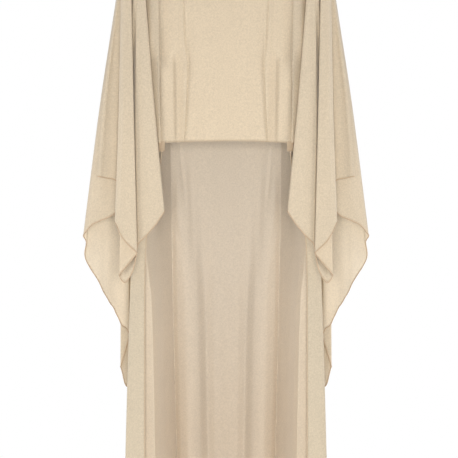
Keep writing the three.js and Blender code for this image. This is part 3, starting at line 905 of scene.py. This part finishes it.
def jersey(name, face, near, far=None, low=None):
    """Fine metallic jersey: knit loops, mottled yarn and small glints. It has one colour, or goes
    from the near one to the far one, painted light, and the low one, painted shade."""
    nodes = Nodes(name)
    place = nodes.add("ShaderNodeTexCoord").outputs["Object"]
    yarn = nodes.noise(place, YARN_NOISE)
    mottle = nodes.math("MULTIPLY", nodes.noise(place, MOTTLE_NOISE), MOTTLE_SHARE)
    patch = nodes.math("MULTIPLY", nodes.noise(place, PATCH_NOISE), PATCH_SHARE)
    tone = nodes.math("ADD", nodes.math("MULTIPLY", yarn, YARN_SHARE),
                      nodes.math("ADD", mottle, patch))
    grains = nodes.ramp(tone, TONE_RANGE, ((1 - face.grain,) * 3, (1 + face.grain,) * 3))
    # the far and the low colour paint light and shade over the dye
    dye_and_painted_light = painted_light_over_dye(nodes, place, near, far, low) if far else near
    over = nodes.math("SUBTRACT", nodes.noise(place, GLINT_NOISE), GLINT_LEVEL)
    glint = nodes.math("MAXIMUM", 0.0, nodes.math("MULTIPLY", over, GLINT_GAIN))
    spark = nodes.math("SMOOTH_MIN", 1.0, glint, GLINT_SOFTNESS)
    return nodes.finish("ShaderNodeBsdfPrincipled", {
        "Base Color": nodes.mix(nodes.math("MULTIPLY", spark, GLINT_TINT),
                                nodes.mix(1.0, dye_and_painted_light, grains, "MULTIPLY"), GLINT_COLOUR),
        "Sheen Weight": face.sheen,
        "Sheen Roughness": SHEEN_ROUGHNESS,
        "Sheen Tint": SHEEN_TINT,
        "Specular IOR Level": SPECULAR,
        "Roughness": nodes.math("MULTIPLY_ADD", spark, GLINT_POLISH, ROUGHNESS),
        "Metallic": nodes.math("MULTIPLY_ADD", spark, GLINT_METAL, METAL),
        "Normal": nodes.bump(yarn, YARN_BUMP, nodes.bump(knit_relief(nodes), KNIT_BUMP)),
    })


def stitched(name, colour):
    """The rolled hem: overlock thread over the cloth's edge."""
    nodes = Nodes(name)
    thread = nodes.noise(nodes.add("ShaderNodeTexCoord").outputs["Object"], THREAD_NOISE)
    shades = [tuple(channel * shade for channel in colour) for shade in THREAD_SHADES]
    return nodes.finish("ShaderNodeBsdfPrincipled", {
        "Base Color": nodes.ramp(thread, THREAD_RANGE, shades),
        "Roughness": THREAD_ROUGHNESS,
        "Sheen Weight": THREAD_SHEEN,
        "Normal": nodes.bump(thread, THREAD_BUMP),
    })


# ---------------------------------------------------------------- stage, in metres

CAMERA_DISTANCE = 3.0
CAMERA_HEIGHT = -0.770
PHOTO_SIZE = 458
PHOTO_CENTRE_X = 226.0
PIXEL_SIZE = 0.0024  # in the plane at PIXEL_DEPTH in front of the origin
PIXEL_DEPTH = 0.060
AMBIENT = 0.31
AMBIENT_COLOUR = (0.93, 0.985, 1.10)
WARM_LIGHT = (1.0, 0.96, 0.90)
LIGHT_TARGET = (0, 0, -0.7)
LIGHTS = table("name place size watts", [
    ("front box", (0, -3.4, -0.98), (1.4, 1.0), 77),
    ("left box", (-2.7, -1.2, -0.6), (0.9, 1.6), 35),
    ("right box", (2.7, -1.2, -0.6), (0.9, 1.6), 35),
    ("left edge box", (-2.6, 0.7, -0.7), (0.6, 1.8), 15),
    ("right edge box", (2.6, 0.7, -0.7), (0.6, 1.8), 15),
    ("back box", (0, 3.4, -0.4), (2.2, 1.6), 60),
])
BACKDROP_RADIUS = 12.0
FLOOR_RADIUS = 0.85
FLOOR_DROP = 0.014
FLOOR_COLOUR = (0.88, 0.88, 0.88)
FLOOR_ROUGHNESS = 0.9


def make_camera():
    data = bpy.data.cameras.new("camera")
    camera = bpy.data.objects.new("camera", data)
    bpy.context.scene.collection.objects.link(camera)
    camera.location = (0, -CAMERA_DISTANCE, CAMERA_HEIGHT)
    camera.rotation_euler = (math.pi / 2, 0, 0)
    half_width = PHOTO_SIZE * PIXEL_SIZE / 2
    data.sensor_fit = "HORIZONTAL"
    data.angle = 2 * math.atan(half_width / (CAMERA_DISTANCE - PIXEL_DEPTH))
    data.shift_x = (PHOTO_SIZE / 2 - PHOTO_CENTRE_X) / PHOTO_SIZE
    bpy.context.scene.camera = camera


def make_light(light):
    data = bpy.data.lights.new(light.name, "AREA")
    data.shape = "RECTANGLE"
    data.size, data.size_y = light.size
    data.energy = light.watts
    data.color = WARM_LIGHT
    lamp = bpy.data.objects.new(light.name, data)
    bpy.context.scene.collection.objects.link(lamp)
    lamp.location = light.place
    aim = Vector(LIGHT_TARGET) - Vector(light.place)
    lamp.rotation_euler = aim.to_track_quat("-Z", "Y").to_euler()
    lamp.visible_camera = False


def make_backdrop():
    """A white dome that only the camera sees."""
    bpy.ops.mesh.primitive_uv_sphere_add(segments=48, ring_count=24, radius=BACKDROP_RADIUS)
    dome = bpy.context.active_object
    dome.name = "backdrop"
    white = Nodes("backdrop white").finish("ShaderNodeEmission", {"Strength": 1.0})
    dome.data.materials.append(white)
    dome.visible_diffuse = False
    dome.visible_glossy = False
    dome.visible_transmission = False
    dome.visible_shadow = False


def make_floor(height):
    bpy.ops.mesh.primitive_circle_add(vertices=96, radius=FLOOR_RADIUS, fill_type="NGON",
                                      location=(0, 0, height))
    floor = bpy.context.active_object
    floor.name = "floor"
    pale = Nodes("pale floor").finish("ShaderNodeBsdfPrincipled", {
        "Base Color": FLOOR_COLOUR, "Roughness": FLOOR_ROUGHNESS})
    floor.data.materials.append(pale)


def make_stage():
    scene = bpy.context.scene
    scene.view_settings.view_transform = "Standard"
    world = bpy.data.worlds.new("studio")
    world.use_nodes = True
    background = world.node_tree.nodes["Background"]
    background.inputs["Color"].default_value = (*AMBIENT_COLOUR, 1)
    background.inputs["Strength"].default_value = AMBIENT
    scene.world = world
    for light in LIGHTS:
        make_light(light)
    make_backdrop()
    lowest = cad_box[0][2]
    make_floor(lowest - FLOOR_DROP)


# ---------------------------------------------------------------- pieces

# The cut before it was sewn, in metres: the rectangle it is cut from and its area
CUTS = {cut.name: cut for cut in table("name width length area", [
    ("front", 0.34, 0.59, 0.178),
    ("back", 0.98, 1.53, 1.03),
    ("sleeve", 1.16, 1.22, 0.47),
])}
HEM_RADIUS = 1.05
SLEEVE_HEM_RADIUS = 1.4
HEM_TWIST = 0.12
HEM_START = 5  # of the train's hem, above the end of the side seam
NECK_MARGIN = 1  # from the neck's points to where its hem ends and a shoulder seam starts
SEAM_RADIUS = 0.9
SEAM_TWIST = 0.15
SEAM_POINTS = 40
SEAM_RISE = 0.1  # above the shoulder line
SEAM_SHORT = 4  # of the sleeve's seam


def settle(piece, node, hems):
    """Attaches a cloth piece and its hems to the body, and hides the part of its CAD node."""
    for part in [piece, *hems]:
        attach(part, "root")
    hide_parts(node)


def panel_hem(name, path, thread):
    return bead(name, path, HEM_RADIUS, thread, HEM_TWIST)


def neck_line(grid):
    return grid[0][np.abs(grid[0, :, 0]) <= NECK_HALF_WIDTH + NECK_MARGIN]


def make_front(outer, inner, thread):
    grid = front_grid()
    piece = cloth_piece("front", grid, True, [outer, inner, thread], symmetric=True)
    for face in piece.data.polygons:  # a tab below the hem takes the hem thread's colour, darker and warmer than the cloth
        if face.center.z < (FRONT_HEM_Z - FRONT_HEM_SIDE_FALL) * MM:
            face.material_index = THREAD_SLOT
    hems = [panel_hem("hem_front", grid[-1], thread),
            panel_hem("hem_front_neck", neck_line(grid), thread)]
    settle(piece, "front", hems)


def shoulder_seam(side, sign, material):
    x = np.linspace(NECK_HALF_WIDTH + NECK_MARGIN, SLEEVE_TOP_SEAM_X - SEAM_SHORT, SEAM_POINTS)
    line = np.stack([x * sign, np.zeros_like(x), shoulder_z(x) + SEAM_RISE], axis=-1)
    return bead(f"shoulder_seam_{side}", line, SEAM_RADIUS, material, SEAM_TWIST)


def make_back(outer, inner, thread):
    grid, places = back_grid()
    half = len(BACK_NAMES) - 1
    heights = grid[..., 2]
    creases = []
    for crease in BACK_CREASES:
        fallen = clamp01((crease.starts - heights[:, 0]) / (crease.starts - crease.ends))
        beyond = crease.high_beyond + (crease.low_beyond - crease.high_beyond) * fallen
        place = fold_place(BACK_NAMES, crease.fold, beyond, half)
        amount = faded(heights, crease, BACK_CREASE_FADE, TRAIN_HEM_Z)
        for at in (place, 2 * half - place):
            creases.append((at, crease.rise, crease.half_width, amount))
    grid = raise_creases(grid, places, creases)
    piece = cloth_piece("back", grid, False, [outer, inner], symmetric=True)
    free = grid[:, -1, 2] < FRONT_SEAM_END_Z + HEM_START
    edge = np.concatenate([grid[free, 0], grid[-1], grid[free, -1][::-1]])
    seams = [shoulder_seam("left", 1, outer), shoulder_seam("right", -1, outer)]
    hems = [panel_hem("hem_back", edge, thread),
            panel_hem("hem_back_neck", neck_line(grid), thread)]
    settle(piece, "back", hems + seams)


def make_sleeve(side, outer, inner, thread):
    grid, places, shares = sleeve_grid()
    share = shares[:, None]
    creases = []
    for crease in SLEEVE_CREASES:  # this grid's normals point into the sleeve
        place = fold_place(SLEEVE_NAMES, crease.fold, crease.beyond, LAP_COLUMNS)
        tail = 1.0 if crease.ends >= 1 else smooth_step((crease.ends - share) / SLEEVE_FADE_OUT)
        amount = smooth_step((share - crease.starts) / SLEEVE_FADE_IN) * tail
        creases.append((place, -crease.rise, crease.half_width, amount))
    grid = raise_creases(grid, places, creases)
    across = lengths_across(grid)[-1]
    fade = smooth_step((share - 1 + WAVE_REACH) / WAVE_REACH)
    for wave in HEM_WAVES:
        place = fold_place(SLEEVE_NAMES, wave.fold, wave.beyond, LAP_COLUMNS)
        centre = np.interp(place, places, across)
        grid[..., 2] -= wave.drop * hump(across - centre, wave.half_width) * fade
    if side == "right":
        grid = grid * np.array([-1, 1, 1])
    name = f"sleeve_{side}"
    piece = cloth_piece(name, grid, side == "left", [outer, inner])
    hem = bead(f"hem_{name}", grid[-1], SLEEVE_HEM_RADIUS, thread, HEM_TWIST)
    settle(piece, name, [hem])


outer_cloth = jersey("jersey outer face", OUTER_FACE, OUTER_COLOUR)
# painted shade: the back's and the sleeves' outer faces are the front's jersey made darker
train_cloth = jersey("jersey train outer face painted shade", OUTER_FACE, TRAIN_OUTER_PAINTED_SHADE)
sleeve_cloth = jersey("jersey sleeve outer face painted shade", OUTER_FACE, SLEEVE_OUTER_PAINTED_SHADE)
# the inner faces carry painted light behind the wearer and painted shade lower down
inner_cloth = jersey("jersey inner face painted light and shade", INNER_FACE, OUTER_COLOUR, BACK_INNER_PAINTED_LIGHT,
                     BACK_LOW_PAINTED_SHADE)
sleeve_inner_cloth = jersey("jersey sleeve inner face painted light and shade", INNER_FACE, OUTER_COLOUR,
                            SLEEVE_INNER_PAINTED_LIGHT, SLEEVE_LOW_PAINTED_SHADE)
panel_thread = stitched("panel hem thread", FRONT_HEM_COLOUR)
sleeve_thread_and_shade = stitched("sleeve hem thread and painted shade", SLEEVE_HEM_THREAD_AND_SHADE)

make_camera()
make_stage()
make_front(outer_cloth, inner_cloth, panel_thread)
make_back(train_cloth, inner_cloth, panel_thread)
make_sleeve("left", sleeve_cloth, sleeve_inner_cloth, sleeve_thread_and_shade)
make_sleeve("right", sleeve_cloth, sleeve_inner_cloth, sleeve_thread_and_shade)
